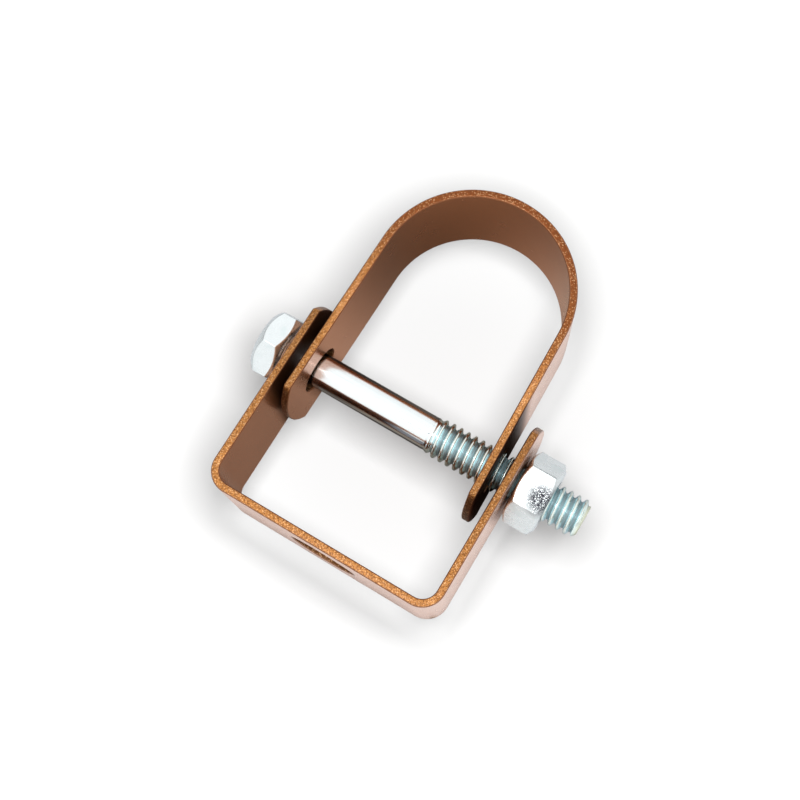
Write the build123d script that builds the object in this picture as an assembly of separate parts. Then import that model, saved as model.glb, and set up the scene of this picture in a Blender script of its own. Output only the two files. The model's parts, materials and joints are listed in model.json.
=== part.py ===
"""Adjustable clevis hanger for a pipe: a bent yoke, a pipe strap, a cross bolt and its nut.

Frame: the origin is the centre of the rod hole on the top face of the yoke, +Z is up along the
hanger rod, +X points at the bolt's head, and Y runs along the pipe. Lengths are millimetres.
"""

from build123d import *
from math import cos, radians, sin, sqrt, tan
import os

# ---- Yoke: one strip bent to a square U that hangs open side down ----
YOKE_THICKNESS = 1.25
YOKE_STRIP_WIDTH = 20.0
YOKE_BEND_INSIDE_RADIUS = 2.4
YOKE_HEAD_LEG_LEAN_DEGREES = 0.8
YOKE_TIP_BELOW_BOLT = 8.6
YOKE_TIP_CROWN_RADIUS = 19.3
ROD_HOLE_DIAMETER = 11.11

# ---- Pipe strap: one strip bent to a round U that hangs on the bolt ----
PIPE_DIAMETER = 28.58
STRAP_THICKNESS = 1.25
STRAP_STRIP_WIDTH = 18.3
STRAP_LEG_SPLAY_DEGREES = 1.45
STRAP_TIP_ABOVE_BOLT = 8.7
STRAP_TIP_CROWN_RADIUS = 18.0

# ---- Cross bolt: 1/4 inch, 20 threads to the inch, reduced shank, hexagon head ----
BOLT_BELOW_YOKE_TOP = 24.3
BOLT_THREAD_DIAMETER = 6.25
SHANK_BELOW_THREAD = 0.39
THREAD_INTO_YOKE = 15.3
BOLT_PAST_NUT = 5.65
BOLT_RUNOUT_LENGTH = 0.6
BOLT_TIP_CHAMFER = 0.8
HEAD_ACROSS_FLATS = 10.15
HEAD_HEIGHT = 4.2
HEAD_TURN_DEGREES = 13.0
HEAD_TOP_CHAMFER_DEGREES = 42.0
HEAD_TOP_CIRCLE_SHARE = 0.86

# ---- Hexagon nut ----
NUT_ACROSS_FLATS = 10.5
NUT_THICKNESS = 5.4
NUT_TURN_DEGREES = 35.5
NUT_BORE_MOUTH_CHAMFER = 0.35
HEXAGON_CHAMFER_DEGREES = 32.0
HEXAGON_CIRCLE_SHARE = 0.93

# ---- Clearances, each on one side ----
PIPE_CLEARANCE = 0.21
PIPE_HEADROOM = 3.185
STRAP_SIDE_PLAY = 1.5
STRAP_SHIFT_TOWARDS_HEAD = 0.5
BOLT_HOLE_CLEARANCE = 0.625
NUT_THREAD_CLEARANCE = 0.06
NUT_GAP_TO_YOKE = 0.45
HEAD_GAP_TO_YOKE = 2.05

# ---- Places and sizes that follow from those above ----
BOLT_Z = -BOLT_BELOW_YOKE_TOP
PIPE_CENTRE_Z = BOLT_Z - BOLT_THREAD_DIAMETER / 2 - PIPE_HEADROOM - PIPE_DIAMETER / 2
STRAP_TIP_Z = BOLT_Z + STRAP_TIP_ABOVE_BOLT
STRAP_INSIDE_RADIUS = PIPE_DIAMETER / 2 + PIPE_CLEARANCE
STRAP_OUTSIDE_RADIUS = STRAP_INSIDE_RADIUS + STRAP_THICKNESS
BOLT_HOLE_RADIUS = BOLT_THREAD_DIAMETER / 2 + BOLT_HOLE_CLEARANCE
BOLT_PLANE = Plane(origin=(0, 0, BOLT_Z), x_dir=(0, 0, 1), z_dir=(1, 0, 0))


def leg_start(radius):
    """X and Z where a leg leaves a round bend of this radius about the pipe's centre."""
    splay = radians(STRAP_LEG_SPLAY_DEGREES)
    return radius * cos(splay), PIPE_CENTRE_Z - radius * sin(splay)


def leg_x(radius, z):
    """X of a splayed leg at height z."""
    start_x, start_z = leg_start(radius)
    return start_x + (z - start_z) * tan(radians(STRAP_LEG_SPLAY_DEGREES))


YOKE_INSIDE_HALF = leg_x(STRAP_OUTSIDE_RADIUS, STRAP_TIP_Z) + STRAP_SIDE_PLAY
YOKE_OUTSIDE_HALF = YOKE_INSIDE_HALF + YOKE_THICKNESS
HEAD_UNDERSIDE_X = YOKE_OUTSIDE_HALF + HEAD_GAP_TO_YOKE
NUT_END_X = -YOKE_OUTSIDE_HALF - NUT_GAP_TO_YOKE - NUT_THICKNESS
BOLT_TIP_X = NUT_END_X - BOLT_PAST_NUT
THREAD_START_X = -YOKE_OUTSIDE_HALF + THREAD_INTO_YOKE


def crown_depth(strip_width, crown_radius):
    """Distance from the crown of a rounded leg tip back to where its straight edges end."""
    return crown_radius - sqrt(crown_radius**2 - (strip_width / 2) ** 2)


def side_outline(strip_width, square_end_z, crown_z, crown_radius, reach):
    """Solid that gives a bent strip its width, with one square end and one crowned end."""
    half = strip_width / 2
    towards_square_end = 1 if square_end_z > crown_z else -1
    corner_z = crown_z + towards_square_end * crown_depth(strip_width, crown_radius)
    with BuildSketch(Plane.YZ) as outline:
        with BuildLine():
            Polyline((-half, corner_z), (-half, square_end_z), (half, square_end_z), (half, corner_z))
            ThreePointArc((half, corner_z), (0, crown_z), (-half, corner_z))
        make_face()
    return extrude(outline.sketch, amount=reach, both=True)


def bolt_holes(reach):
    """Bar along the bolt's axis that cuts the bolt hole through both legs."""
    return BOLT_PLANE * Cylinder(BOLT_HOLE_RADIUS, 2 * reach)


def head_leg_x(skin, z):
    """X, at height z, of the leg on the bolt head's side, skin outside its inner face."""
    lean = radians(YOKE_HEAD_LEG_LEAN_DEGREES)
    return YOKE_INSIDE_HALF + skin / cos(lean) + (z - BOLT_Z) * tan(lean)


def square_u(skin, bottom_z):
    """Filled square U in the XZ plane, skin outside the strip's inner face all round."""
    top_z = skin - YOKE_THICKNESS
    nut_leg_x = -YOKE_INSIDE_HALF - skin
    with BuildSketch(Plane.XZ) as filled:
        with BuildLine():
            Polyline(
                (nut_leg_x, bottom_z),
                (nut_leg_x, top_z),
                (head_leg_x(skin, top_z), top_z),
                (head_leg_x(skin, bottom_z), bottom_z),
                (nut_leg_x, bottom_z),
            )
        make_face()
        top_corners = filled.vertices().group_by(Axis.Z)[-1]
        fillet(top_corners, YOKE_BEND_INSIDE_RADIUS + skin)
    return filled.sketch


def make_yoke():
    tip_z = BOLT_Z - YOKE_TIP_BELOW_BOLT
    below_tip = tip_z - YOKE_THICKNESS
    profile = square_u(YOKE_THICKNESS, below_tip) - square_u(0, below_tip)
    bent_strip = extrude(profile, amount=YOKE_STRIP_WIDTH, both=True)
    reach = 2 * YOKE_OUTSIDE_HALF
    yoke = bent_strip & side_outline(
        YOKE_STRIP_WIDTH, YOKE_THICKNESS, tip_z, YOKE_TIP_CROWN_RADIUS, reach
    )
    rod_hole = Cylinder(ROD_HOLE_DIAMETER / 2, 4 * YOKE_THICKNESS)
    return yoke - bolt_holes(reach) - rod_hole


def round_u(radius, top_z):
    """Filled round U in the XZ plane about the pipe's centre, its legs leaning outwards."""
    start_x, start_z = leg_start(radius)
    top_x = leg_x(radius, top_z)
    with BuildSketch(Plane.XZ) as filled:
        with BuildLine():
            ThreePointArc((-start_x, start_z), (0, PIPE_CENTRE_Z - radius), (start_x, start_z))
            Polyline((start_x, start_z), (top_x, top_z), (-top_x, top_z), (-start_x, start_z))
        make_face()
    return filled.sketch


def make_pipe_strap():
    above_tip = STRAP_TIP_Z + STRAP_THICKNESS
    profile = round_u(STRAP_OUTSIDE_RADIUS, above_tip) - round_u(STRAP_INSIDE_RADIUS, above_tip)
    bent_strip = extrude(profile, amount=STRAP_STRIP_WIDTH, both=True)
    reach = 2 * STRAP_OUTSIDE_RADIUS
    below_loop = PIPE_CENTRE_Z - STRAP_OUTSIDE_RADIUS - STRAP_THICKNESS
    strap = bent_strip & side_outline(
        STRAP_STRIP_WIDTH, below_loop, STRAP_TIP_Z, STRAP_TIP_CROWN_RADIUS, reach
    )
    return Pos(STRAP_SHIFT_TOWARDS_HEAD, 0, 0) * (strap - bolt_holes(reach))


def corner_cut(across_flats, circle_share, chamfer_degrees):
    """Radius of a hexagon's round end face, and how far down its corners the chamfer reaches."""
    circle_radius = circle_share * across_flats / 2
    corner_radius = across_flats / 2 / cos(radians(30))
    return circle_radius, (corner_radius - circle_radius) * tan(radians(chamfer_degrees))


def hexagon_blank(across_flats, thickness, top_circle_share, top_chamfer_degrees):
    """Hexagon standing on the XY plane, its corners turned back to a round face at both ends."""
    corner_radius = across_flats / 2 / cos(radians(30))
    under_radius, under_cut = corner_cut(
        across_flats, HEXAGON_CIRCLE_SHARE, HEXAGON_CHAMFER_DEGREES
    )
    top_radius, top_cut = corner_cut(across_flats, top_circle_share, top_chamfer_degrees)
    with BuildSketch(Plane.XZ) as half_section:
        with BuildLine():
            Polyline(
                (0, 0),
                (under_radius, 0),
                (corner_radius, under_cut),
                (corner_radius, thickness - top_cut),
                (top_radius, thickness),
                (0, thickness),
                (0, 0),
            )
        make_face()
    turned = revolve(half_section.sketch, Axis.Z)
    with BuildSketch() as flats:
        RegularPolygon(across_flats / 2, 6, major_radius=False)
    return turned & extrude(flats.sketch, amount=thickness)


def on_bolt(start_x, turn_degrees):
    """Plane square to the bolt at start_x; a hexagon corner starts at -Y and turns towards +Z."""
    turn = radians(turn_degrees)
    corner_direction = (0, -cos(turn), sin(turn))
    return Plane(origin=(start_x, 0, BOLT_Z), x_dir=corner_direction, z_dir=(1, 0, 0))


def make_cross_bolt():
    thread_radius = BOLT_THREAD_DIAMETER / 2
    shank_radius = thread_radius - SHANK_BELOW_THREAD
    with BuildSketch(Plane.XZ) as half_section:
        with BuildLine():
            Polyline(
                (BOLT_TIP_X, BOLT_Z),
                (BOLT_TIP_X, BOLT_Z + thread_radius - BOLT_TIP_CHAMFER),
                (BOLT_TIP_X + BOLT_TIP_CHAMFER, BOLT_Z + thread_radius),
                (THREAD_START_X, BOLT_Z + thread_radius),
                (THREAD_START_X + BOLT_RUNOUT_LENGTH, BOLT_Z + shank_radius),
                (HEAD_UNDERSIDE_X, BOLT_Z + shank_radius),
                (HEAD_UNDERSIDE_X, BOLT_Z),
                (BOLT_TIP_X, BOLT_Z),
            )
        make_face()
    stem = revolve(half_section.sketch, Axis((0, 0, BOLT_Z), (1, 0, 0)))
    head = hexagon_blank(
        HEAD_ACROSS_FLATS, HEAD_HEIGHT, HEAD_TOP_CIRCLE_SHARE, HEAD_TOP_CHAMFER_DEGREES
    )
    return stem + on_bolt(HEAD_UNDERSIDE_X, HEAD_TURN_DEGREES) * head


def make_hex_nut():
    bore_radius = BOLT_THREAD_DIAMETER / 2 + NUT_THREAD_CLEARANCE
    mouth_radius = bore_radius + NUT_BORE_MOUTH_CHAMFER
    nut = hexagon_blank(
        NUT_ACROSS_FLATS, NUT_THICKNESS, HEXAGON_CIRCLE_SHARE, HEXAGON_CHAMFER_DEGREES
    )
    nut -= Pos(0, 0, NUT_THICKNESS / 2) * Cylinder(bore_radius, 2 * NUT_THICKNESS)
    standing = (Align.CENTER, Align.CENTER, Align.MIN)
    mouth = Cone(mouth_radius, bore_radius, NUT_BORE_MOUTH_CHAMFER, align=standing)
    far_mouth = Pos(0, 0, NUT_THICKNESS) * Rot(180, 0, 0) * mouth
    nut = nut - mouth - far_mouth
    return on_bolt(NUT_END_X, NUT_TURN_DEGREES) * nut


def main():
    os.makedirs("parts", exist_ok=True)
    pieces = {
        "yoke": make_yoke(),
        "pipe_strap": make_pipe_strap(),
        "cross_bolt": make_cross_bolt(),
        "hex_nut": make_hex_nut(),
    }
    for name, piece in pieces.items():
        export_step(piece, f"parts/{name}.step")


main()
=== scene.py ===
import json
from math import asin, cos, pi, radians, sin, sqrt, tan

import bmesh
import bpy
from mathutils import Matrix, Vector

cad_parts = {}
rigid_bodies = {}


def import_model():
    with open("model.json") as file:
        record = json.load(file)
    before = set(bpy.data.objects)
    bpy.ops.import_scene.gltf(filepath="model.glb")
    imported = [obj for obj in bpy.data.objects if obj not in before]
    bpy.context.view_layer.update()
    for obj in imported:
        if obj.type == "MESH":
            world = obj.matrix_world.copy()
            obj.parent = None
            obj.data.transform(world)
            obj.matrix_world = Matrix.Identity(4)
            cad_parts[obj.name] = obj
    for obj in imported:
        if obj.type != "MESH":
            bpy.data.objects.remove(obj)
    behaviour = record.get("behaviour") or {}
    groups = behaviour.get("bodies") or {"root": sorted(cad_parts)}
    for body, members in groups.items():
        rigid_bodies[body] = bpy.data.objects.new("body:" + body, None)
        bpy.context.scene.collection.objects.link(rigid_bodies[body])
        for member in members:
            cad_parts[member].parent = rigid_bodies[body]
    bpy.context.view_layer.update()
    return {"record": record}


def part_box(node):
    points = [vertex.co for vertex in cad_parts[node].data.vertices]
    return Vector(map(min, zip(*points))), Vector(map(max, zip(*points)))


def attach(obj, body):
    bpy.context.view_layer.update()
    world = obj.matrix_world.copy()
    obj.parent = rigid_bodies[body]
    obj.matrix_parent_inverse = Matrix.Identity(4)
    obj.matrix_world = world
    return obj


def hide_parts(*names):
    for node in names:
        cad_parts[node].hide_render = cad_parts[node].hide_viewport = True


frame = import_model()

bl_info = {
    "name": "Clevis Pipe Hanger",
    "version": (1, 0, 0),
    "blender": (4, 5, 0),
    "location": "View3D > Sidebar > Hanger",
    "description": "Builds a copper coated clevis hanger with its cross bolt and nut",
    "category": "Add Mesh",
}

MM = 0.001
RECORD = frame["record"]
MOUNTS = {mount["name"]: mount for mount in RECORD["mounts"]}
JOINTS = {joint["name"]: joint for joint in RECORD["behaviour"]["joints"]}
BOLT_Z = JOINTS["bolt_turn"]["pos_m"][2] / MM
PITCH = RECORD["behaviour"]["couplings"][0]["ratio"] * 2 * pi / MM


def cad_box(node):
    """Lowest and highest corner of a CAD node, in millimetres."""
    low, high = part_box(node)
    return low / MM, high / MM


YOKE_LOW, YOKE_HIGH = cad_box("yoke")
STRAP_HIGH = cad_box("pipe_strap")[1]
BOLT_LOW, BOLT_HIGH = cad_box("cross_bolt")
NUT_LOW, NUT_HIGH = cad_box("hex_nut")


# ---------------------------------------------------------------- sizes and colours


def size(name, description, default):
    """A length in millimetres."""
    return bpy.props.FloatProperty(name=name, description=description, default=default, min=0.0, precision=3)


def angle(name, description, default):
    """An angle, kept in radians and shown in degrees."""
    return bpy.props.FloatProperty(
        name=name, description=description, default=radians(default), subtype="ANGLE", unit="ROTATION"
    )


def share(name, description, default):
    """A number from 0 to 1."""
    return bpy.props.FloatProperty(
        name=name, description=description, default=default, min=0.0, max=1.0, subtype="FACTOR"
    )


def colour(name, description, default):
    """A linear colour."""
    return bpy.props.FloatVectorProperty(
        name=name, description=description, default=default, size=3, min=0.0, max=1.0, subtype="COLOR"
    )


def watts(name, description, default):
    """The power of a light."""
    return bpy.props.FloatProperty(name=name, description=description, default=default, min=0.0, unit="POWER")


def strength(name, description, default):
    """The strength of the light from all round."""
    return bpy.props.FloatProperty(name=name, description=description, default=default, min=0.0)


class StripSizes(bpy.types.PropertyGroup):
    thickness: size("Thickness", "Thickness of both strips", 1.25)
    edge_round: size("Edge rounding", "Rounding of the sheared edges", 0.24)
    bolt_hole: size("Bolt hole", "Radius of the bolt holes", 3.75)
    yoke_bend: size("Yoke bend", "Inside radius of the yoke's two bends", 2.4)
    yoke_lean: angle("Yoke lean", "Inward lean of the leg beside the bolt's head", 0.8)
    yoke_crown: size("Yoke crown", "Radius of the yoke's rounded leg tips", 19.3)
    strap_splay: angle("Strap splay", "Outward lean of each strap leg", 1.45)
    strap_crown: size("Strap crown", "Radius of the strap's rounded leg tips", 18.0)


class FastenerSizes(bpy.types.PropertyGroup):
    crest_radius: size("Crest radius", "Outside radius of the thread", 3.125)
    root_radius: size("Root radius", "Radius at the bottom of the thread", 2.42)
    shank_radius: size("Shank radius", "Radius of the plain shank", 2.735)
    thread_start: bpy.props.FloatProperty(
        name="Thread start", description="Where the thread runs out into the shank", default=-3.95
    )
    run_out: size("Run-out", "Length over which the thread rises to full height", 2.5)
    tip_chamfer: size("Tip chamfer", "Chamfer at the bolt's end", 0.8)
    head_height: size("Head height", "Height of the bolt's head", 4.2)
    head_across_flats: size("Head across flats", "Size of the bolt's head", 10.15)
    head_face_share: share("Head face", "Round top face as a share of the size across flats", 0.86)
    head_slope: angle("Head chamfer", "Slope of the turned-back corners", 42.0)
    head_turn: angle("Head turn", "Turn of the head about the bolt", 13.0)
    nut_across_flats: size("Nut across flats", "Size of the nut", 10.5)
    nut_face_share: share("Nut face", "Round end face as a share of the size across flats", 0.93)
    nut_slope: angle("Nut chamfer", "Slope of the turned-back corners", 32.0)
    nut_turn: angle("Nut turn", "Turn of the nut about the bolt", 35.5)
    nut_mouth: size("Nut mouth", "Chamfer at the nut's bore", 0.35)
    corner_round: size("Corner rounding", "Rounding of the hexagons' edges", 0.16)


class FinishColours(bpy.types.PropertyGroup):
    copper: colour("Copper", "Copper flake coating on the inner faces", (0.55, 0.215, 0.088))
    # Painted reflection: the outer faces get a paler, pinker copper than the inner faces
    copper_outside_reflection: colour("Copper outside", "Paler copper on the outer faces", (0.60, 0.31, 0.19))
    copper_mottle: colour("Copper mottle", "Browner patches on the faces", (0.30, 0.11, 0.045))
    copper_edge: colour("Sheared edge", "Coating on the sheared edges", (0.36, 0.156, 0.043))
    loop_edge: colour("Loop edge", "Redder coating on the edge of the strap's loop", (0.19, 0.052, 0.012))
    edge_specks: colour("Edge specks", "Dark specks on the sheared edges", (0.10, 0.030, 0.008))
    # Painted shade: a dark line where a face turns into its rounded edge
    edge_line_shade: colour("Crease", "Dark line between a face and its edge", (0.06, 0.022, 0.009))
    glint: colour("Glint", "Bright flakes in the coating", (0.9, 0.55, 0.28))
    # Painted shade, not dirt: the dark colour where the yoke's and the strap's legs face each other beside
    # the bolt
    leg_gap_shade: colour("Grime", "Dirt between the yoke's and the strap's legs", (0.04, 0.013, 0.005))
    zinc: colour("Zinc", "Bright zinc plating", (0.72, 0.765, 0.775))
    zinc_bloom: colour("Zinc bloom", "Greener clouds in the plating", (0.55, 0.66, 0.66))
    worn: colour("Worn patch", "Dark specks of the nut's worn patch", (0.02, 0.02, 0.038))
    # Dark drawn lines along the shank, and the same colour painted thicker on the shank's top and bottom as
    # shade
    shank_seam_and_shade: colour("Shank seam", "Dark drawn lines along the shank", (0.09, 0.095, 0.12))
    thread_blue: colour("Thread", "Bluer zinc on the rolled thread", (0.76, 0.96, 0.99))
    # Painted shade at the bottom of the thread
    thread_root_shade: colour("Thread root", "Dark bottom of the thread", (0.05, 0.07, 0.085))
    thread_crest: colour("Thread crest", "Rubbed top of the thread", (0.5, 0.42, 0.3))
    bolt_tip: colour("Bolt tip", "Yellower end of the bolt", (0.86, 0.84, 0.62))


class StageLook(bpy.types.PropertyGroup):
    board: colour("Board", "Pale board behind the hanger", (0.289, 0.289, 0.289))
    board_edge: colour("Board away", "Pale board away from the light", (0.50, 0.50, 0.50))
    floor: colour("Floor", "Pale floor", (0.82, 0.82, 0.82))
    bounce: colour("Bounce board", "Board close behind the hanger that only lights it", (0.26, 0.26, 0.26))
    # Painted shade on the bounce board: darker inside the hanger's outlines, darkest between two legs
    bounce_inside_shade: colour("Bounce inside", "The same board inside the hanger", (0.096, 0.081, 0.067))
    bounce_gap_shade: colour("Bounce gap", "The same board between two legs", (0.02, 0.015, 0.012))
    board_gap: size("Board gap", "Distance of the board behind the bolt", 38.0)
    floor_drop: size("Floor drop", "Depth of the floor below the yoke's plate", 160.0)
    key_watts: watts("Key light", "Power of the key light", 1.0)
    sheen_watts: watts("Sheen light", "Power of the light that only the metal mirrors", 0.11)
    around: strength("Surroundings", "Light of the surroundings on the pieces", 1.42)
    around_seen: strength("Surroundings seen", "Light of the surroundings where they show", 0.95)
    camera_lens: size("Lens", "Focal length on a 36 mm sensor", 60.2)


# ---------------------------------------------------------------- bent strips

# How finely crowns, holes and bends are divided
CROWN_STEPS = 28
HOLE_STEPS = 72
BEND_STEP = radians(3)

# An edge between a face and the wall turns by more than the first angle, one within a face by less than the
# second
RIM_ANGLE = radians(60)
FLAT_ANGLE = radians(0.5)

# Millimetres within which two heights are one, and a point lies on a face
LEVEL = 1e-5
ON_FACE = 1e-4


def everything(bm):
    """All the geometry of a bmesh."""
    return bm.verts[:] + bm.edges[:] + bm.faces[:]


def only(kind, parts):
    """The parts that are of one kind: BMVert or BMEdge."""
    return [part for part in parts if isinstance(part, kind)]


class StripPath:
    """Inner face of a bent strip seen along Y: straight runs and bends, with the strip outside."""

    def __init__(self, start, heading):
        self.parts = []
        self.length = 0.0
        self.end = Vector(start)
        self.heading = heading

    def run(self, length):
        """Adds a straight run."""
        self.parts.append((self.length, self.end.copy(), self.heading, None))
        self.end += length * Vector((cos(self.heading), sin(self.heading)))
        self.length += length

    def bend(self, radius, turn):
        """Adds a bend of an inside radius."""
        self.parts.append((self.length, self.end.copy(), self.heading, radius))
        self.end, self.heading = self.on_arc(self.end, self.heading, radius, turn, 0.0)
        self.length += radius * turn

    @staticmethod
    def on_arc(start, heading, radius, turned, out):
        """Point out from the bend's inner face after turning that far, and the heading there."""
        outwards = Vector((-sin(heading), cos(heading)))
        centre = start - radius * outwards
        now = heading - turned
        return centre + (radius + out) * Vector((-sin(now), cos(now))), now

    def part_at(self, along):
        """The run or bend that a distance along the strip lies in."""
        return [part for part in self.parts if part[0] <= along or part[0] == 0][-1]

    def at(self, along, out):
        """X and Z at a distance along the strip's inner face and a height out from it."""
        first, start, heading, radius = self.part_at(along)
        if radius is None:
            ahead = Vector((cos(heading), sin(heading)))
            outwards = Vector((-sin(heading), cos(heading)))
            return start + (along - first) * ahead + out * outwards
        return self.on_arc(start, heading, radius, (along - first) / radius, out)[0]

    def directions(self, along):
        """Unit vectors ahead and out at a distance along the strip."""
        first, _, heading, radius = self.part_at(along)
        if radius is not None:
            heading -= (along - first) / radius
        return Vector((cos(heading), 0, sin(heading))), Vector((-sin(heading), 0, cos(heading)))

    def bend_stations(self, step):
        """Distances along the strip where the bends are divided."""
        stations = []
        for (first, _, _, radius), (last, _, _, _) in zip(self.parts, self.parts[1:]):
            if radius is None:
                continue
            count = max(2, round((last - first) / radius / step))
            stations += [first + (last - first) * k / count for k in range(count + 1)]
        return stations


def flat_blank(bm, length, half_width, crown_radius, holes):
    """Flat strip with crowned ends and round holes, along +X from the origin."""
    half_turn = asin(half_width / crown_radius)
    corner = crown_radius * (1 - cos(half_turn))
    ends = []
    for start, centre, turn in (
        ((corner, -half_width, 0), (crown_radius, 0, 0), -2 * half_turn),
        ((length - corner, -half_width, 0), (length - crown_radius, 0, 0), 2 * half_turn),
    ):
        first = bm.verts.new(start)
        swept = bmesh.ops.spin(
            bm, geom=[first], cent=centre, axis=(0, 0, 1), angle=turn, steps=CROWN_STEPS, use_duplicate=False
        )
        ends.append((first, only(bmesh.types.BMVert, swept["geom_last"])[0]))
    for near, far in zip(*ends):
        bm.edges.new((near, far))
    for along, radius in holes:
        bmesh.ops.create_circle(
            bm, cap_ends=False, segments=HOLE_STEPS, radius=radius, matrix=Matrix.Translation((along, 0, 0))
        )
    bmesh.ops.triangle_fill(bm, use_beauty=True, use_dissolve=False, edges=bm.edges[:], normal=(0, 0, 1))


def rounded_blank(bm, path, half_width, crown_radius, holes, sizes):
    """Flat blank with its thickness and rounded edges, divided where it will bend."""
    flat_blank(bm, path.length, half_width, crown_radius, holes)
    raised = bmesh.ops.extrude_face_region(bm, geom=bm.faces[:])["geom"]
    bmesh.ops.translate(bm, verts=only(bmesh.types.BMVert, raised), vec=(0, 0, sizes.thickness))
    bmesh.ops.recalc_face_normals(bm, faces=bm.faces[:])
    rims = [edge for edge in bm.edges if edge.calc_face_angle(0) > RIM_ANGLE and is_flat(edge)]
    bmesh.ops.bevel(
        bm,
        geom=rims,
        offset=sizes.edge_round,
        offset_type="OFFSET",
        affect="EDGES",
        segments=4,
        profile=0.5,
        material=-1,
        loop_slide=False,
    )
    bmesh.ops.dissolve_limit(bm, angle_limit=FLAT_ANGLE, verts=bm.verts[:], edges=bm.edges[:])
    for station in path.bend_stations(BEND_STEP):
        bmesh.ops.bisect_plane(bm, geom=everything(bm), plane_co=(station, 0, 0), plane_no=(1, 0, 0))


def bent_strip(name, path, half_width, crown_radius, holes, sizes):
    """Strip made flat, marked for its finish, then bent along its path."""
    bm = bmesh.new()
    rounded_blank(bm, path, half_width, crown_radius, holes, sizes)
    wall = bm.verts.layers.float.new("wall")
    depth = bm.verts.layers.float.new("depth")
    flat = bm.loops.layers.uv.new("flat")
    for face in bm.faces:
        for loop in face.loops:
            loop[flat].uv = loop.vert.co.xy
    bm.normal_update()
    shading = []
    for vert in bm.verts:
        from_face = min(vert.co.z, sizes.thickness - vert.co.z)
        vert[wall] = min(1.0, max(0.0, from_face / sizes.edge_round))
        vert[depth] = vert.co.z / sizes.thickness
        facing = vert.normal
        if from_face < ON_FACE:
            facing = Vector((0, 0, 1 if vert[depth] > 0.5 else -1))
        ahead, outwards = path.directions(vert.co.x)
        shading.append(facing.x * ahead + Vector((0, facing.y, 0)) + facing.z * outwards)
    for vert in bm.verts:
        x, z = path.at(vert.co.x, vert.co.z)
        vert.co = Vector((x, vert.co.y, z))
    return finished_piece(name, bm, shading)


def is_flat(edge):
    """True if both ends of an edge lie at one height."""
    return abs(edge.verts[0].co.z - edge.verts[1].co.z) < LEVEL


def finished_piece(name, bm, shading=None):
    """Object for a closed mesh in millimetres, scaled to metres and shaded smooth or by given normals."""
    bmesh.ops.recalc_face_normals(bm, faces=bm.faces[:])
    if bm.calc_volume(signed=True) < 0:
        bmesh.ops.reverse_faces(bm, faces=bm.faces[:])
    bmesh.ops.scale(bm, vec=(MM, MM, MM), verts=bm.verts[:])
    for face in bm.faces:
        face.smooth = True
    mesh = bpy.data.meshes.new(name)
    bm.to_mesh(mesh)
    bm.free()
    piece = bpy.data.objects.new(name, mesh)
    bpy.context.scene.collection.objects.link(piece)
    if shading is None:
        weighting = piece.modifiers.new("Flat faces stay flat", "WEIGHTED_NORMAL")
        weighting.weight = 80
    else:
        mesh.normals_split_custom_set_from_vertices(shading)
    return piece


def fit_out(piece, body, node, finish):
    """Gives a piece its finish and its body, and hides the CAD node it stands for."""
    piece.data.materials.append(finish)
    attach(piece, body)
    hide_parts(node)


# ---------------------------------------------------------------- turned and threaded pieces

TURNED_STEPS = 120
THREAD_STEPS = 72
SHARP = radians(20)

# Millimetres within which points are joined: after turning, along the thread, where milling leaves slivers
TURNED_WELD = 1e-4
THREAD_WELD = 1e-3
SLIVER = 0.05

# Millimetres that a blank stands past its hexagon's corners, and that the nut's bore clears the thread
BLANK_MARGIN = 0.3
NUT_CLEARANCE = 0.06

# (share of a pitch, share of the thread's depth) up one side of a rolled thread
FLANK = ((0.0, 0.0), (0.08, 0.03), (0.14, 0.14), (0.22, 0.42), (0.32, 0.78), (0.38, 0.95), (0.44, 1.0))

# The neck under the head: its fillet's radius, the angles that divide it, how far its end goes in and out
NECK_FILLET = 0.45
NECK_ANGLES = (0.4, 0.8, 1.2)
NECK_END = (0.4, 0.3)

# (distance in along the bolt, distance in from the chamfer) of the hollow that rolling leaves in the tip
TIP_END = ((0.0, 0.25), (0.05, 0.5), (0.08, 1.3))


def along_bolt(start_x, turn):
    """Matrix that stands a piece made along +Z on the bolt's axis, its +X turned from -Y towards +Z."""
    corner = Vector((0, -cos(turn), sin(turn)))
    ahead = Vector((1, 0, 0))
    side = ahead.cross(corner)
    matrix = Matrix((corner, side, ahead)).transposed().to_4x4()
    matrix.translation = (start_x, 0, BOLT_Z)
    return matrix


def turned(bm, outline, closed):
    """Turns a half section of (radius, height) points about Z."""
    points = [bm.verts.new((radius, 0, height)) for radius, height in outline]
    pairs = list(zip(points, points[1:]))
    if closed:
        pairs.append((points[-1], points[0]))
    edges = [bm.edges.new(pair) for pair in pairs]
    bmesh.ops.spin(
        bm,
        geom=points + edges,
        cent=(0, 0, 0),
        axis=(0, 0, 1),
        angle=2 * pi,
        steps=TURNED_STEPS,
        use_merge=True,
    )
    bmesh.ops.remove_doubles(bm, verts=bm.verts[:], dist=TURNED_WELD)


def mill_flats(bm, across_flats):
    """Cuts six flats, and closes each cut."""
    for k in range(6):
        facing = Vector((cos(radians(30 + 60 * k)), sin(radians(30 + 60 * k)), 0))
        cut = bmesh.ops.bisect_plane(
            bm, geom=everything(bm), plane_co=facing * across_flats / 2, plane_no=facing, clear_outer=True
        )["geom_cut"]
        bmesh.ops.contextual_create(bm, geom=only(bmesh.types.BMEdge, cut))
    bmesh.ops.recalc_face_normals(bm, faces=bm.faces[:])


def round_edges(bm, width):
    """Rounds every sharp edge."""
    sharp = [edge for edge in bm.edges if edge.calc_face_angle(0) > SHARP]
    bmesh.ops.bevel(
        bm,
        geom=sharp,
        offset=width,
        offset_type="OFFSET",
        affect="EDGES",
        segments=3,
        profile=0.5,
        material=-1,
    )


def thread_outline(crest, root):
    """(share of a pitch, radius) points of one turn of a rolled thread."""
    shares = list(FLANK) + [(1 - along, rise) for along, rise in reversed(FLANK)]
    return [(along, root + rise * (crest - root)) for along, rise in shares]


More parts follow.
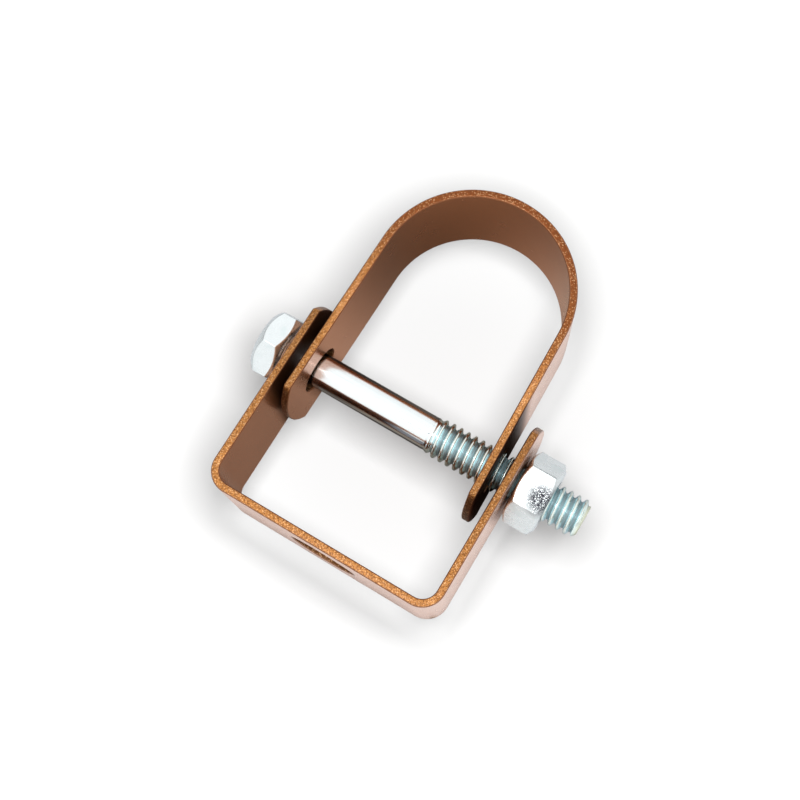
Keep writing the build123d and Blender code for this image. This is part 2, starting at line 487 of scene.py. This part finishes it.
def screw_thread(bm, start_x, end_x, crest, root):
    """Right-hand thread about the X axis, one pitch of outline wound from start to end and cut square."""
    points = []
    for along, radius in thread_outline(crest, root):
        points.append(bm.verts.new((start_x + (along - 1.2) * PITCH, 0, radius)))
    edges = [bm.edges.new(pair) for pair in zip(points, points[1:])]
    bmesh.ops.spin(
        bm,
        geom=points + edges,
        cent=(0, 0, 0),
        axis=(1, 0, 0),
        dvec=(PITCH / THREAD_STEPS, 0, 0),
        angle=2 * pi,
        steps=THREAD_STEPS,
        use_duplicate=False,
    )
    one_turn = everything(bm)
    for turn in range(1, int((end_x - start_x) / PITCH) + 3):
        copied = only(bmesh.types.BMVert, bmesh.ops.duplicate(bm, geom=one_turn)["geom"])
        bmesh.ops.translate(bm, verts=copied, vec=(turn * PITCH, 0, 0))
    bmesh.ops.remove_doubles(bm, verts=bm.verts[:], dist=THREAD_WELD)
    for place, facing in ((start_x, -1), (end_x, 1)):
        bmesh.ops.bisect_plane(
            bm, geom=everything(bm), plane_co=(place, 0, 0), plane_no=(facing, 0, 0), clear_outer=True
        )


def open_rim(bm, place):
    """Open edges that lie at one place along X."""
    return [
        edge
        for edge in bm.edges
        if edge.is_boundary and all(abs(vert.co.x - place) < THREAD_WELD for vert in edge.verts)
    ]


def radius_of(vert):
    """Distance of a vertex from the X axis."""
    return sqrt(vert.co.y**2 + vert.co.z**2)


def set_radius(vert, radius):
    """Moves a vertex straight out from, or in to, the X axis."""
    now = radius_of(vert)
    vert.co.y *= radius / now
    vert.co.z *= radius / now


def draw_out(bm, rim, stations):
    """Extrudes an open rim through (place, radius) stations and returns the last rim."""
    for place, radius in stations:
        rim = only(bmesh.types.BMEdge, bmesh.ops.extrude_edge_only(bm, edges=rim)["geom"])
        for vert in {v for edge in rim for v in edge.verts}:
            vert.co.x = place
            set_radius(vert, radius)
    return rim


def shape_stem(bm, sizes, tip_x, tip_radius):
    """Fades the thread out into the shank, and chamfers the tip."""
    for vert in bm.verts:
        left = min(1.0, (sizes.thread_start - vert.co.x) / sizes.run_out)
        rise = left * left * (3 - 2 * left)
        radius = sizes.shank_radius + (radius_of(vert) - sizes.shank_radius) * rise
        set_radius(vert, min(radius, tip_radius + (vert.co.x - tip_x)))


def bolt_stem(sizes, tip_x, seat_x):
    """Threaded and plain stem of the cross bolt, from its tip to just inside its head."""
    bm = bmesh.new()
    screw_thread(bm, tip_x, sizes.thread_start, sizes.crest_radius, sizes.root_radius)
    bmesh.ops.bisect_plane(
        bm, geom=everything(bm), plane_co=(tip_x + sizes.tip_chamfer, 0, 0), plane_no=(1, 0, 0)
    )
    tip_radius = sizes.crest_radius - sizes.tip_chamfer
    shape_stem(bm, sizes, tip_x, tip_radius)
    shank, fillet_x = sizes.shank_radius, seat_x - NECK_FILLET
    fillet = [
        (fillet_x + NECK_FILLET * sin(turn), shank + NECK_FILLET * (1 - cos(turn)))
        for turn in NECK_ANGLES
    ]
    neck_end = (seat_x + NECK_END[0], shank + NECK_END[1])
    neck = draw_out(bm, open_rim(bm, sizes.thread_start), [(fillet_x, shank)] + fillet + [neck_end])
    bmesh.ops.edgeloop_fill(bm, edges=neck)
    tip_end = [(tip_x + inwards, tip_radius - step) for inwards, step in TIP_END]
    rim = draw_out(bm, open_rim(bm, tip_x), tip_end)
    bmesh.ops.edgeloop_fill(bm, edges=rim)
    bmesh.ops.translate(bm, verts=bm.verts[:], vec=(0, 0, BOLT_Z))
    return finished_piece("bolt_stem", bm)


def hexagon_section(across_flats, height, under, top):
    """Half section of a hexagon blank, its corners turned back by a (face share, slope) at each end."""
    beyond = across_flats / 2 / cos(radians(30)) + BLANK_MARGIN
    under_face, top_face = (face_share * across_flats / 2 for face_share, _ in (under, top))
    under_rise = (beyond - under_face) * tan(under[1])
    top_rise = (beyond - top_face) * tan(top[1])
    return [(under_face, 0), (beyond, under_rise), (beyond, height - top_rise), (top_face, height)]


def bolt_head(sizes, seat_x):
    """Hexagon head of the cross bolt."""
    bm = bmesh.new()
    section = hexagon_section(
        sizes.head_across_flats,
        sizes.head_height,
        (sizes.nut_face_share, sizes.nut_slope),
        (sizes.head_face_share, sizes.head_slope),
    )
    turned(bm, [(0, 0)] + section + [(0, sizes.head_height)], closed=False)
    mill_flats(bm, sizes.head_across_flats)
    bmesh.ops.remove_doubles(bm, verts=bm.verts[:], dist=SLIVER)
    round_edges(bm, sizes.corner_round)
    bmesh.ops.transform(bm, matrix=along_bolt(seat_x, sizes.head_turn), verts=bm.verts[:])
    return finished_piece("bolt_head", bm)


def hexagon_nut(sizes, start_x, thickness):
    """Hexagon nut with a chamfered bore."""
    bm = bmesh.new()
    bore = sizes.crest_radius + NUT_CLEARANCE
    mouth = bore + sizes.nut_mouth
    chamfer = (sizes.nut_face_share, sizes.nut_slope)
    section = hexagon_section(sizes.nut_across_flats, thickness, chamfer, chamfer)
    hole = [(mouth, thickness), (bore, thickness - sizes.nut_mouth), (bore, sizes.nut_mouth)]
    turned(bm, [(mouth, 0)] + section + hole, closed=True)
    mill_flats(bm, sizes.nut_across_flats)
    round_edges(bm, sizes.corner_round)
    bmesh.ops.transform(bm, matrix=along_bolt(start_x, sizes.nut_turn), verts=bm.verts[:])
    return finished_piece("nut_body", bm)


# ---------------------------------------------------------------- finishes


class Value:
    """A number socket: arithmetic on it adds Math nodes."""

    def __init__(self, finish, socket):
        self.finish = finish
        self.socket = socket

    def maths(self, operation, *terms):
        """Adds one Math node."""
        return self.finish.node("ShaderNodeMath", "Value", {"operation": operation}, dict(enumerate(terms)))

    def __add__(self, other):
        return self.maths("ADD", self, other)

    def __radd__(self, other):
        return self.maths("ADD", other, self)

    def __sub__(self, other):
        return self.maths("SUBTRACT", self, other)

    def __rsub__(self, other):
        return self.maths("SUBTRACT", other, self)

    def __mul__(self, other):
        return self.maths("MULTIPLY", self, other)

    def __rmul__(self, other):
        return self.maths("MULTIPLY", other, self)

    def __pow__(self, other):
        return self.maths("POWER", self, other)


class Finish:
    """A material, or a world, built from nodes and expressions."""

    def __init__(self, name, library=None):
        self.material = (bpy.data.materials if library is None else library).new(name)
        self.material.use_nodes = True
        self.tree = self.material.node_tree
        self.tree.nodes.clear()

    def node(self, kind, output, settings, sockets):
        """Adds a node, makes its settings, then fills or links its sockets, and gives one output."""
        made = self.tree.nodes.new(kind)
        for key, setting in settings.items():
            if key == "stops":
                self.set_stops(made.color_ramp, setting)
            else:
                setattr(made, key, setting)
        for key, value in sockets.items():
            if isinstance(value, Value):
                self.tree.links.new(value.socket, made.inputs[key])
            else:
                made.inputs[key].default_value = value
        return Value(self, made.outputs[output]) if output is not None else made

    @staticmethod
    def set_stops(ramp, stops):
        """Gives a colour ramp its (place, grey level) stops."""
        while len(ramp.elements) < len(stops):
            ramp.elements.new(1.0)
        for element, (place, level) in zip(ramp.elements, stops):
            element.position = place
            element.color = (level, level, level, 1.0)

    def objects(self):
        """Object coordinates, in metres."""
        return self.node("ShaderNodeTexCoord", "Object", {}, {})

    def axes(self, place):
        """X, Y and Z of a place."""
        apart = self.node("ShaderNodeSeparateXYZ", None, {}, {"Vector": place})
        return [Value(self, apart.outputs[name]) for name in "XYZ"]

    def distance(self, place, point):
        """Distance of a place from a fixed point."""
        return self.node("ShaderNodeVectorMath", "Value", {"operation": "DISTANCE"}, {0: place, 1: point})

    def attribute(self, name):
        """A number marked on the piece's vertices."""
        return self.node("ShaderNodeAttribute", "Fac", {"attribute_name": name}, {})

    def noise(self, coordinates, scale, detail=3.0, roughness=0.5, stretch=(1, 1, 1)):
        """Cloudy noise, finer as the scale grows."""
        placed = self.node("ShaderNodeMapping", "Vector", {}, {"Vector": coordinates, "Scale": stretch})
        sockets = {"Vector": placed, "Scale": scale, "Detail": detail, "Roughness": roughness}
        return self.node("ShaderNodeTexNoise", "Fac", {}, sockets)

    def cells(self, coordinates, scale, channel):
        """One random number for each flake-like cell."""
        tint = self.node("ShaderNodeTexVoronoi", "Color", {}, {"Vector": coordinates, "Scale": scale})
        return self.node("ShaderNodeSeparateColor", channel, {}, {"Color": tint})

    def between(self, value, low, high):
        """0 below low, 1 above high, smooth between."""
        return self.node(
            "ShaderNodeMapRange",
            "Result",
            {"interpolation_type": "SMOOTHSTEP"},
            {"Value": value, "From Min": low, "From Max": high},
        )

    def blend(self, factor, first, second):
        """The first colour where the factor is 0, the second where it is 1."""
        sockets = {0: factor}
        for index, tint in ((6, first), (7, second)):
            sockets[index] = tint if isinstance(tint, Value) else (*tint, 1.0)
        return self.node("ShaderNodeMix", 2, {"data_type": "RGBA"}, sockets)

    def bump(self, height, distance, level, under=None):
        """Normal of a relief, laid over another one."""
        sockets = {"Height": height, "Distance": distance, "Strength": level}
        if under is not None:
            sockets["Normal"] = under
        return self.node("ShaderNodeBump", "Normal", {}, sockets)

    def surface(self, sockets):
        """Ends the material in one Principled shader."""
        shader = self.node("ShaderNodeBsdfPrincipled", "BSDF", {}, sockets)
        self.node("ShaderNodeOutputMaterial", None, {}, {"Surface": shader})
        return self.material


# Zones of the copper coating, in metres: the cut walls inside the holes and across the tips, which are
# painted darker as shade, the height over which the edge turns from red to orange, and the places across the
# hanger where one leg faces another, where shade is painted
SHADED_CUT_WALLS = (0.0078, 0.0088)
WORN_RISE = (-0.055, -0.030)
YOKE_INSIDE = (0.0170, 0.0173)
STRAP_OUTSIDE = (0.0145, 0.0150, 0.0174, 0.0176)

# Middle of the nut's worn patch and how far it fades, in metres
WORN_PATCH = (-0.0240, -0.0052, -0.0230)
PATCH_FADE = (0.0008, 0.0034)

# Zones of the plating on the stem, in metres: along the bolt, then out from its axis, then up the shank,
# where more dark lines are painted on its top and bottom as shade
THREAD_FADE = (-0.0060, -0.0042)
TIP_FADE = (0.0002, 0.0009)
ROOT_FADE = (0.00243, 0.00258)
CREST_FADE = (0.00298, 0.00311)
SIDE_SHADE_FADE = (0.0013, 0.0024)


def shaded(tint, level):
    """A colour made darker or lighter."""
    return tuple(min(1.0, part * level) for part in tint)


def copper_coating(colours):
    """Copper flake coating on strip, browner on the faces, orange and grainy on the sheared edges."""
    coat = Finish("copper_flake_coating")
    place = coat.objects()
    x, y, z = coat.axes(place)
    wall = coat.attribute("wall")
    flakes, flake_tilt = (coat.cells(place, 7500.0, channel) for channel in ("Red", "Green"))
    mottle = coat.noise(place, 260.0, 4.0, 0.6)
    grain = coat.noise(place, 3600.0, 3.0, 0.7)
    edge = coat.between(wall + (grain - 0.5) * 0.6, 0.3, 0.95)

    # Painted reflection: the outer faces are made paler than the inner faces
    face_tone = coat.blend(coat.attribute("depth"), colours.copper, colours.copper_outside_reflection)
    face_colour = coat.blend(0.1 + 0.25 * mottle, face_tone, colours.copper_mottle)

    worn = coat.between(z + (mottle - 0.5) * 0.02, *WORN_RISE)
    edge_tone = coat.blend(worn, colours.loop_edge, colours.copper_edge)
    # Painted shade: the cut walls inside the holes and across the tips take a darker copy of the edge colour
    cut_wall_shade = 1 - coat.between(y.maths("ABSOLUTE", y), *SHADED_CUT_WALLS)
    edge_tone = coat.blend(cut_wall_shade, edge_tone, shaded(colours.copper_edge, 0.3))
    edge_colour = coat.blend(coat.between(grain, 0.42, 0.60) * 0.8, edge_tone, colours.edge_specks)

    base = coat.blend(edge, face_colour, edge_colour)
    # Painted shade: a dark line where a face turns into its rounded edge
    edge_line_shade = coat.between(wall, 0.02, 0.3) * (1 - coat.between(wall, 0.45, 0.85))
    base = coat.blend(edge_line_shade * 0.75, base, colours.edge_line_shade)
    glints = coat.between(flakes, 0.84, 0.94) * (0.04 + 0.36 * edge)
    base = coat.blend(glints, base, colours.glint)
    # Painted shade where the legs face each other beside the bolt, kept off the sheared edges; there it also
    # roughens the coating and thins its clear coat
    leg_gap_shade = painted_leg_gap_shade(coat, x, z) * (1 - edge)
    base = coat.blend(leg_gap_shade * 0.94, base, colours.leg_gap_shade)

    flake_relief = coat.bump(flake_tilt, 0.0000015, 0.4)
    return coat.surface(
        {
            "Base Color": base,
            "Metallic": 0.92,
            "Roughness": 0.26 + 0.08 * (mottle - 0.5) + 0.2 * edge + 0.25 * leg_gap_shade,
            "Normal": coat.bump(grain, 0.00002, 0.25, flake_relief),
            "Coat Weight": 0.1 * (1 - leg_gap_shade),
            "Coat Roughness": 0.1,
        }
    )


def painted_leg_gap_shade(coat, x, z):
    """1 where the yoke's and the strap's legs face each other beside the bolt, which is where shade is
    painted.
    """
    depth = coat.attribute("depth")
    inner, outer = 1 - coat.between(depth, 0.2, 0.5), coat.between(depth, 0.5, 0.8)
    above = coat.between(z, YOKE_LOW.z * MM - 0.003, YOKE_LOW.z * MM + 0.001)
    below = 1 - coat.between(z, STRAP_HIGH.z * MM - 0.002, STRAP_HIGH.z * MM + 0.001)
    out = x.maths("ABSOLUTE", x)
    on_yoke = coat.between(out, *YOKE_INSIDE) * inner
    on_strap = (1 - coat.between(out, *STRAP_OUTSIDE[2:])) * coat.between(out, *STRAP_OUTSIDE[:2]) * outer
    return above * below * (on_yoke + on_strap)


def zinc_plating(colours):
    """Bright blue-white zinc with fine wear lines, faint speckle and a worn patch on the nut."""
    zinc = Finish("bright_zinc_plating")
    place = zinc.objects()
    cloud = zinc.noise(place, 500.0, 5.0, 0.6)
    lines = zinc.noise(place, 2400.0, 3.0, 0.6, stretch=(0.05, 1, 1))
    speckle = zinc.noise(place, 6000.0, 3.0, 0.7)
    near_patch = 1 - zinc.between(zinc.distance(place, WORN_PATCH), *PATCH_FADE)
    patch = near_patch * zinc.between(speckle, 0.36, 0.52)
    base = zinc.blend(cloud, colours.zinc, shaded(colours.zinc, 0.9))
    base = zinc.blend(zinc.between(cloud, 0.52, 0.75) * 0.35, base, colours.zinc_bloom)
    base = zinc.blend(patch * 0.95, base, colours.worn)
    wear = zinc.bump(lines, 0.000006, 0.4)
    return zinc.surface(
        {
            "Base Color": base,
            "Metallic": 1.0,
            "Roughness": 0.24 + 0.16 * (cloud - 0.5) + 0.06 * lines + 0.5 * patch,
            "Specular Tint": (0.75, 0.77, 0.80, 1.0),
            "Normal": zinc.bump(zinc.noise(place, 1500.0, 4.0), 0.00003, 0.4, wear),
        }
    )


def thread_plating(colours):
    """Zinc on the stem: bright on the shank, bluer on the thread, with shade painted dark at the thread's
    bottom.
    """
    zinc = Finish("rolled_thread_plating")
    place = zinc.objects()
    x, y, z = zinc.axes(place)
    height = z - BOLT_Z * MM
    from_axis = ((y**2.0) + (height**2.0)) ** 0.5
    threaded = 1 - zinc.between(x, *THREAD_FADE)
    root = (1 - zinc.between(from_axis, *ROOT_FADE)) * threaded
    crest = zinc.between(from_axis, *CREST_FADE) * threaded
    tip = 1 - zinc.between(x, *(BOLT_LOW.x * MM + fade for fade in TIP_FADE))
    cloud = zinc.noise(place, 700.0, 5.0, 0.6)
    lines = zinc.noise(place, 2600.0, 4.0, 0.65, stretch=(0.025, 1, 1))
    # Painted shade: more of the dark drawn lines towards the shank's top and bottom
    side_shade = zinc.between(height.maths("ABSOLUTE", height), *SIDE_SHADE_FADE)
    drawn = zinc.noise(place, 1500.0, 2.0, 0.5, stretch=(0.02, 1, 1)) + 0.2 * side_shade
    seams_and_side_shade = zinc.between(drawn, 0.58, 0.68) * (1 - threaded)
    base = zinc.blend(cloud, colours.zinc, shaded(colours.zinc, 0.93))
    base = zinc.blend(seams_and_side_shade * 0.8, base, colours.shank_seam_and_shade)
    base = zinc.blend(threaded * 0.85, base, colours.thread_blue)
    # Painted shade at the bottom of the thread
    base = zinc.blend(root * 0.7, base, colours.thread_root_shade)
    base = zinc.blend(crest * 0.45, base, colours.thread_crest)
    base = zinc.blend(tip * 0.6, base, colours.bolt_tip)
    return zinc.surface(
        {
            "Base Color": base,
            "Metallic": 1.0,
            "Roughness": 0.13 + 0.1 * cloud + 0.05 * threaded + 0.25 * root,
            "Specular Tint": (0.4, 0.42, 0.45, 1.0),
            "Normal": zinc.bump(lines, 0.000012, 0.5),
        }
    )


# ---------------------------------------------------------------- operators


class HANGER_OT_yoke(bpy.types.Operator):
    """Bends the square yoke that hangs on the rod"""

    bl_idname = "hanger.yoke"
    bl_label = "Yoke"

    def execute(self, context):
        sizes = context.scene.hanger_strips
        tip_z = YOKE_LOW.z
        inside_half = -YOKE_LOW.x - sizes.thickness
        under_plate = -sizes.thickness
        far_corner = inside_half + (under_plate - BOLT_Z) * tan(sizes.yoke_lean)
        turn = pi / 2 + sizes.yoke_lean
        setback = sizes.yoke_bend * tan(turn / 2)
        path = StripPath((-inside_half, tip_z), pi / 2)
        path.run(under_plate - sizes.yoke_bend - tip_z)
        path.bend(sizes.yoke_bend, pi / 2)
        rod_hole_along = path.length - path.end.x
        path.run(far_corner - setback - path.end.x)
        path.bend(sizes.yoke_bend, turn)
        path.run((under_plate - tip_z) / cos(sizes.yoke_lean) - setback)
        tip_to_bolt = BOLT_Z - tip_z
        holes = [
            (tip_to_bolt, sizes.bolt_hole),
            (rod_hole_along, MOUNTS["rod_hole"]["dims"]["r_mm"]),
            (path.length - tip_to_bolt / cos(sizes.yoke_lean), sizes.bolt_hole),
        ]
        piece = bent_strip("yoke_strip", path, YOKE_HIGH.y, sizes.yoke_crown, holes, sizes)
        fit_out(piece, "yoke", "yoke", coating(context))
        return {"FINISHED"}


class HANGER_OT_pipe_strap(bpy.types.Operator):
    """Bends the round strap that holds the pipe"""

    bl_idname = "hanger.pipe_strap"
    bl_label = "Pipe strap"

    def execute(self, context):
        sizes = context.scene.hanger_strips
        seat = MOUNTS["pipe_seat"]
        radius = seat["dims"]["r_mm"]
        centre_x = seat["pos_m"][0] / MM
        centre_z = seat["pos_m"][2] / MM
        splay = sizes.strap_splay
        tip_z = STRAP_HIGH.z
        leg_foot = Vector((centre_x + radius * cos(splay), centre_z - radius * sin(splay)))
        leg = (tip_z - leg_foot.y) / cos(splay)
        path = StripPath((leg_foot.x + leg * sin(splay), tip_z), -pi / 2 - splay)
        path.run(leg)
        path.bend(radius, pi - 2 * splay)
        path.run(leg)
        hole_along = (tip_z - BOLT_Z) / cos(splay)
        holes = [(hole_along, sizes.bolt_hole), (path.length - hole_along, sizes.bolt_hole)]
        piece = bent_strip("strap_strip", path, STRAP_HIGH.y, sizes.strap_crown, holes, sizes)
        fit_out(piece, "strap", "pipe_strap", coating(context))
        return {"FINISHED"}


class HANGER_OT_cross_bolt(bpy.types.Operator):
    """Makes the cross bolt: its threaded stem and its hexagon head"""

    bl_idname = "hanger.cross_bolt"
    bl_label = "Cross bolt"

    def execute(self, context):
        sizes = context.scene.hanger_fasteners
        seat_x = BOLT_HIGH.x - sizes.head_height
        stem_finish = thread_plating(context.scene.hanger_colours)
        fit_out(bolt_stem(sizes, BOLT_LOW.x, seat_x), "bolt", "cross_bolt", stem_finish)
        fit_out(bolt_head(sizes, seat_x), "bolt", "cross_bolt", plating(context))
        return {"FINISHED"}


class HANGER_OT_nut(bpy.types.Operator):
    """Makes the hexagon nut"""

    bl_idname = "hanger.nut"
    bl_label = "Nut"

    def execute(self, context):
        sizes = context.scene.hanger_fasteners
        piece = hexagon_nut(sizes, NUT_LOW.x, NUT_HIGH.x - NUT_LOW.x)
        fit_out(piece, "nut", "hex_nut", plating(context))
        return {"FINISHED"}


def coating(context):
    """The strips' one coating material."""
    known = bpy.data.materials.get("copper_flake_coating")
    return known or copper_coating(context.scene.hanger_colours)


def plating(context):
    """The bolt's and nut's one plating material."""
    known = bpy.data.materials.get("bright_zinc_plating")
    return known or zinc_plating(context.scene.hanger_colours)


# ---------------------------------------------------------------- stage

# The camera: its place in millimetres and its turn in degrees
CAMERA_PLACE = (-31.634, -198.749, 10.581)
CAMERA_TURN = (102.16655, 149.01, -3.38989)
SENSOR_WIDTH = 36.0
NEAREST_SEEN = 0.01

# Each light: its place, what it faces and its width, in millimetres
KEY_LIGHT = ((-25.3, -166.5, -4.2), (1.6, -4.8, -25.5), 42)
SHEEN_LIGHT = ((17, -245, 8), (-10, 0, -24), 70)

# The surroundings: the way to their bright side, and (place, level) from the far side round to it
TOWARDS_FRONT = (-0.166, -0.969, 0.181)
SURROUNDING_STOPS = ((0.0, 0.35), (0.4, 0.45), (0.48, 0.6), (0.56, 0.9), (0.74, 0.92), (0.8, 1.0))

# The papers, in metres: how far the sheets reach, where the key light falls and how that fades, how close is
# touching, and half the width of a soft edge
STAGE_REACH = 1.2
LIT_SPOT = (0.0, 0.038, -0.03)
LIT_FADE = (0.02, 0.11)
TOUCHING = 0.0006
SOFT_EDGE = 0.0004

# The bounce board: half a strip's thickness and the board's gap in millimetres, then, in metres, the dark
# side of the shade painted on it inside the hanger, from the pipe's centre, and how that and the yoke's
# inside fade, then the levels of that painted shade
HALF_STRIP = 0.6
BOUNCE_GAP = 0.1
DARK_SIDE = (0.0100, -0.0062)
DARK_FADE = (0.007, 0.026)
YOKE_FADE = (-0.030, -0.016)
INSIDE_LEVELS = (0.26, 1.7, 0.95)


def stage_sheet(name, corners, paper, seen):
    """Flat pale sheet through four corners, in metres: either seen itself, or only lighting the pieces."""
    bm = bmesh.new()
    bm.faces.new([bm.verts.new(corner) for corner in corners])
    mesh = bpy.data.meshes.new(name)
    bm.to_mesh(mesh)
    bm.free()
    sheet = bpy.data.objects.new(name, mesh)
    sheet.data.materials.append(paper)
    sheet.visible_camera = seen
    sheet.visible_shadow = seen
    sheet.visible_glossy = not seen
    sheet.visible_diffuse = not seen
    bpy.context.scene.collection.objects.link(sheet)


def one_sided(paper, tone):
    """Matt paper of a tone, clear from behind and to what all but touches it."""
    matt = paper.node("ShaderNodeBsdfDiffuse", "BSDF", {}, {"Color": tone})
    clear = paper.node("ShaderNodeBsdfTransparent", "BSDF", {}, {})
    behind = paper.node("ShaderNodeNewGeometry", "Backfacing", {}, {})
    reach = paper.node("ShaderNodeLightPath", "Ray Length", {}, {})
    unseen = behind.maths("MAXIMUM", behind, reach.maths("LESS_THAN", reach, TOUCHING))
    both = paper.node("ShaderNodeMixShader", "Shader", {}, {0: unseen, 1: matt, 2: clear})
    paper.node("ShaderNodeOutputMaterial", None, {}, {"Surface": both})
    return paper.material


def pale_paper(name, shade, edge_shade):
    """Pale paper, paler away from the key light so that it looks even."""
    paper = Finish(name)
    away = paper.distance(paper.objects(), LIT_SPOT)
    return one_sided(paper, paper.blend(paper.between(away, *LIT_FADE), shade, edge_shade))


def studio_surroundings(look):
    """World that is bright in front, greyer round the sides and behind, and plain where it is seen itself."""
    room = Finish("studio", bpy.data.worlds)
    way = room.node("ShaderNodeTexCoord", "Generated", {}, {})
    settings = {"operation": "DOT_PRODUCT"}
    ahead = room.node("ShaderNodeVectorMath", "Value", settings, {0: way, 1: TOWARDS_FRONT})
    level = room.node("ShaderNodeValToRGB", "Color", {"stops": SURROUNDING_STOPS}, {"Fac": 0.5 + 0.5 * ahead})
    seen = room.node("ShaderNodeLightPath", "Is Camera Ray", {}, {})
    lit = room.node("ShaderNodeBackground", "Background", {}, {"Color": level, "Strength": look.around})
    plain = room.node("ShaderNodeBackground", "Background", {}, {"Strength": look.around_seen})
    both = room.node("ShaderNodeMixShader", "Shader", {}, {0: seen, 1: lit, 2: plain})
    room.node("ShaderNodeOutputWorld", None, {}, {"Surface": both})
    return room.material


def bounce_paper(look):
    """Paper that is darker where the yoke and the strap shut the light out."""
    paper = Finish("bounce_paper")
    place = paper.objects()
    x, _, z = paper.axes(place)
    seat = MOUNTS["pipe_seat"]
    centre_x, _, centre_z = seat["pos_m"]
    reach = (seat["dims"]["r_mm"] + HALF_STRIP) * MM
    from_pipe = (((x - centre_x) ** 2.0) + ((z - centre_z) ** 2.0)) ** 0.5
    loop = 1 - paper.between(from_pipe, reach - SOFT_EDGE, reach + SOFT_EDGE)
    legs = inside_span(paper, x, centre_x - reach, centre_x + reach) * inside_span(
        paper, z, centre_z - MM, (YOKE_LOW.z + 1) * MM
    )
    yoke = inside_span(paper, x, (YOKE_LOW.x + HALF_STRIP) * MM, (YOKE_HIGH.x - 0.8) * MM) * inside_span(
        paper, z, YOKE_LOW.z * MM, -HALF_STRIP * MM
    )
    inside = loop.maths("MAXIMUM", loop, legs.maths("MAXIMUM", legs, yoke))
    outside_legs = 1 - inside_span(
        paper, x, centre_x - reach - HALF_STRIP * MM, centre_x + reach + HALF_STRIP * MM
    )
    # Painted shade, darkest, on the board between the strap's and the yoke's legs
    gap = outside_legs * (1 - paper.between(z, STRAP_HIGH.z * MM - 0.003, STRAP_HIGH.z * MM))
    dark_side = (centre_x + DARK_SIDE[0], 0.0, centre_z + DARK_SIDE[1])
    lit = paper.between(paper.distance(place, dark_side), *DARK_FADE)
    dark_tone, lit_tone, yoke_tone = (shaded(look.bounce_inside_shade, level) for level in INSIDE_LEVELS)
    inside_tone = paper.blend(lit, dark_tone, lit_tone)
    inside_tone = paper.blend(paper.between(z, *YOKE_FADE), inside_tone, yoke_tone)
    tone = paper.blend(inside, look.bounce, inside_tone)
    return one_sided(paper, paper.blend(inside * gap, tone, look.bounce_gap_shade))


def inside_span(finish, value, low, high):
    """1 between two places, 0 outside them."""
    above = finish.between(value, low - SOFT_EDGE, low + SOFT_EDGE)
    return above * (1 - finish.between(value, high - SOFT_EDGE, high + SOFT_EDGE))


def soft_light(name, place, target, width, power):
    """Square soft light, in millimetres and watts, facing a target."""
    lamp = bpy.data.lights.new(name, "AREA")
    lamp.size = width * MM
    lamp.energy = power
    light = bpy.data.objects.new(name, lamp)
    light.location = Vector(place) * MM
    facing = (Vector(target) - Vector(place)).normalized()
    light.rotation_mode = "QUATERNION"
    light.rotation_quaternion = facing.to_track_quat("-Z", "Y")
    light.visible_camera = False
    bpy.context.scene.collection.objects.link(light)
    return light


class HANGER_OT_stage(bpy.types.Operator):
    """Sets up the pale board and floor, the soft lights and the camera"""

    bl_idname = "hanger.stage"
    bl_label = "Stage"

    def execute(self, context):
        look = context.scene.hanger_stage
        scene = context.scene
        back, drop, reach = look.board_gap * MM, -look.floor_drop * MM, STAGE_REACH
        upright = [(-reach, back, drop), (reach, back, drop), (reach, back, reach), (-reach, back, reach)]
        level = [(-reach, -reach, drop), (reach, -reach, drop), (reach, back, drop), (-reach, back, drop)]
        stage_sheet("back_board", upright, pale_paper("board_paper", look.board, look.board_edge), seen=True)
        stage_sheet("floor", level, pale_paper("floor_paper", look.floor, look.floor), seen=True)
        near = (YOKE_HIGH.y + BOUNCE_GAP) * MM
        close = [(-reach, near, -reach), (reach, near, -reach), (reach, near, reach), (-reach, near, reach)]
        stage_sheet("bounce_board", close, bounce_paper(look), seen=False)
        scene.world = studio_surroundings(look)
        key = soft_light("key", *KEY_LIGHT, look.key_watts)
        key.visible_glossy = False
        sheen = soft_light("sheen", *SHEEN_LIGHT, look.sheen_watts)
        sheen.visible_diffuse = False
        camera = bpy.data.objects.new("camera", bpy.data.cameras.new("camera"))
        camera.data.lens = look.camera_lens
        camera.data.sensor_width = SENSOR_WIDTH
        camera.data.clip_start = NEAREST_SEEN
        camera.location = Vector(CAMERA_PLACE) * MM
        camera.rotation_euler = [radians(turn) for turn in CAMERA_TURN]
        scene.collection.objects.link(camera)
        scene.camera = camera
        scene.view_settings.view_transform = "Standard"
        return {"FINISHED"}


class HANGER_PT_panel(bpy.types.Panel):
    """Lists the hanger's pieces and their sizes"""

    bl_idname = "HANGER_PT_panel"
    bl_label = "Clevis Pipe Hanger"
    bl_space_type = "VIEW_3D"
    bl_region_type = "UI"
    bl_category = "Hanger"

    def draw(self, context):
        for group in ("hanger_strips", "hanger_fasteners", "hanger_colours", "hanger_stage"):
            box = self.layout.box()
            holder = getattr(context.scene, group)
            for name in holder.__annotations__:
                box.prop(holder, name)
        for operator in OPERATORS:
            self.layout.operator(operator.bl_idname)


OPERATORS = (HANGER_OT_yoke, HANGER_OT_pipe_strap, HANGER_OT_cross_bolt, HANGER_OT_nut, HANGER_OT_stage)
GROUPS = {
    "hanger_strips": StripSizes,
    "hanger_fasteners": FastenerSizes,
    "hanger_colours": FinishColours,
    "hanger_stage": StageLook,
}


def register():
    for group in GROUPS.values():
        bpy.utils.register_class(group)
    for name, group in GROUPS.items():
        setattr(bpy.types.Scene, name, bpy.props.PointerProperty(type=group))
    for operator in OPERATORS:
        bpy.utils.register_class(operator)
    bpy.utils.register_class(HANGER_PT_panel)


def unregister():
    bpy.utils.unregister_class(HANGER_PT_panel)
    for operator in reversed(OPERATORS):
        bpy.utils.unregister_class(operator)
    for name, group in GROUPS.items():
        delattr(bpy.types.Scene, name)
        bpy.utils.unregister_class(group)


def main():
    register()
    bpy.ops.hanger.yoke()
    bpy.ops.hanger.pipe_strap()
    bpy.ops.hanger.cross_bolt()
    bpy.ops.hanger.nut()
    bpy.ops.hanger.stage()


if __name__ == "__main__":
    main()
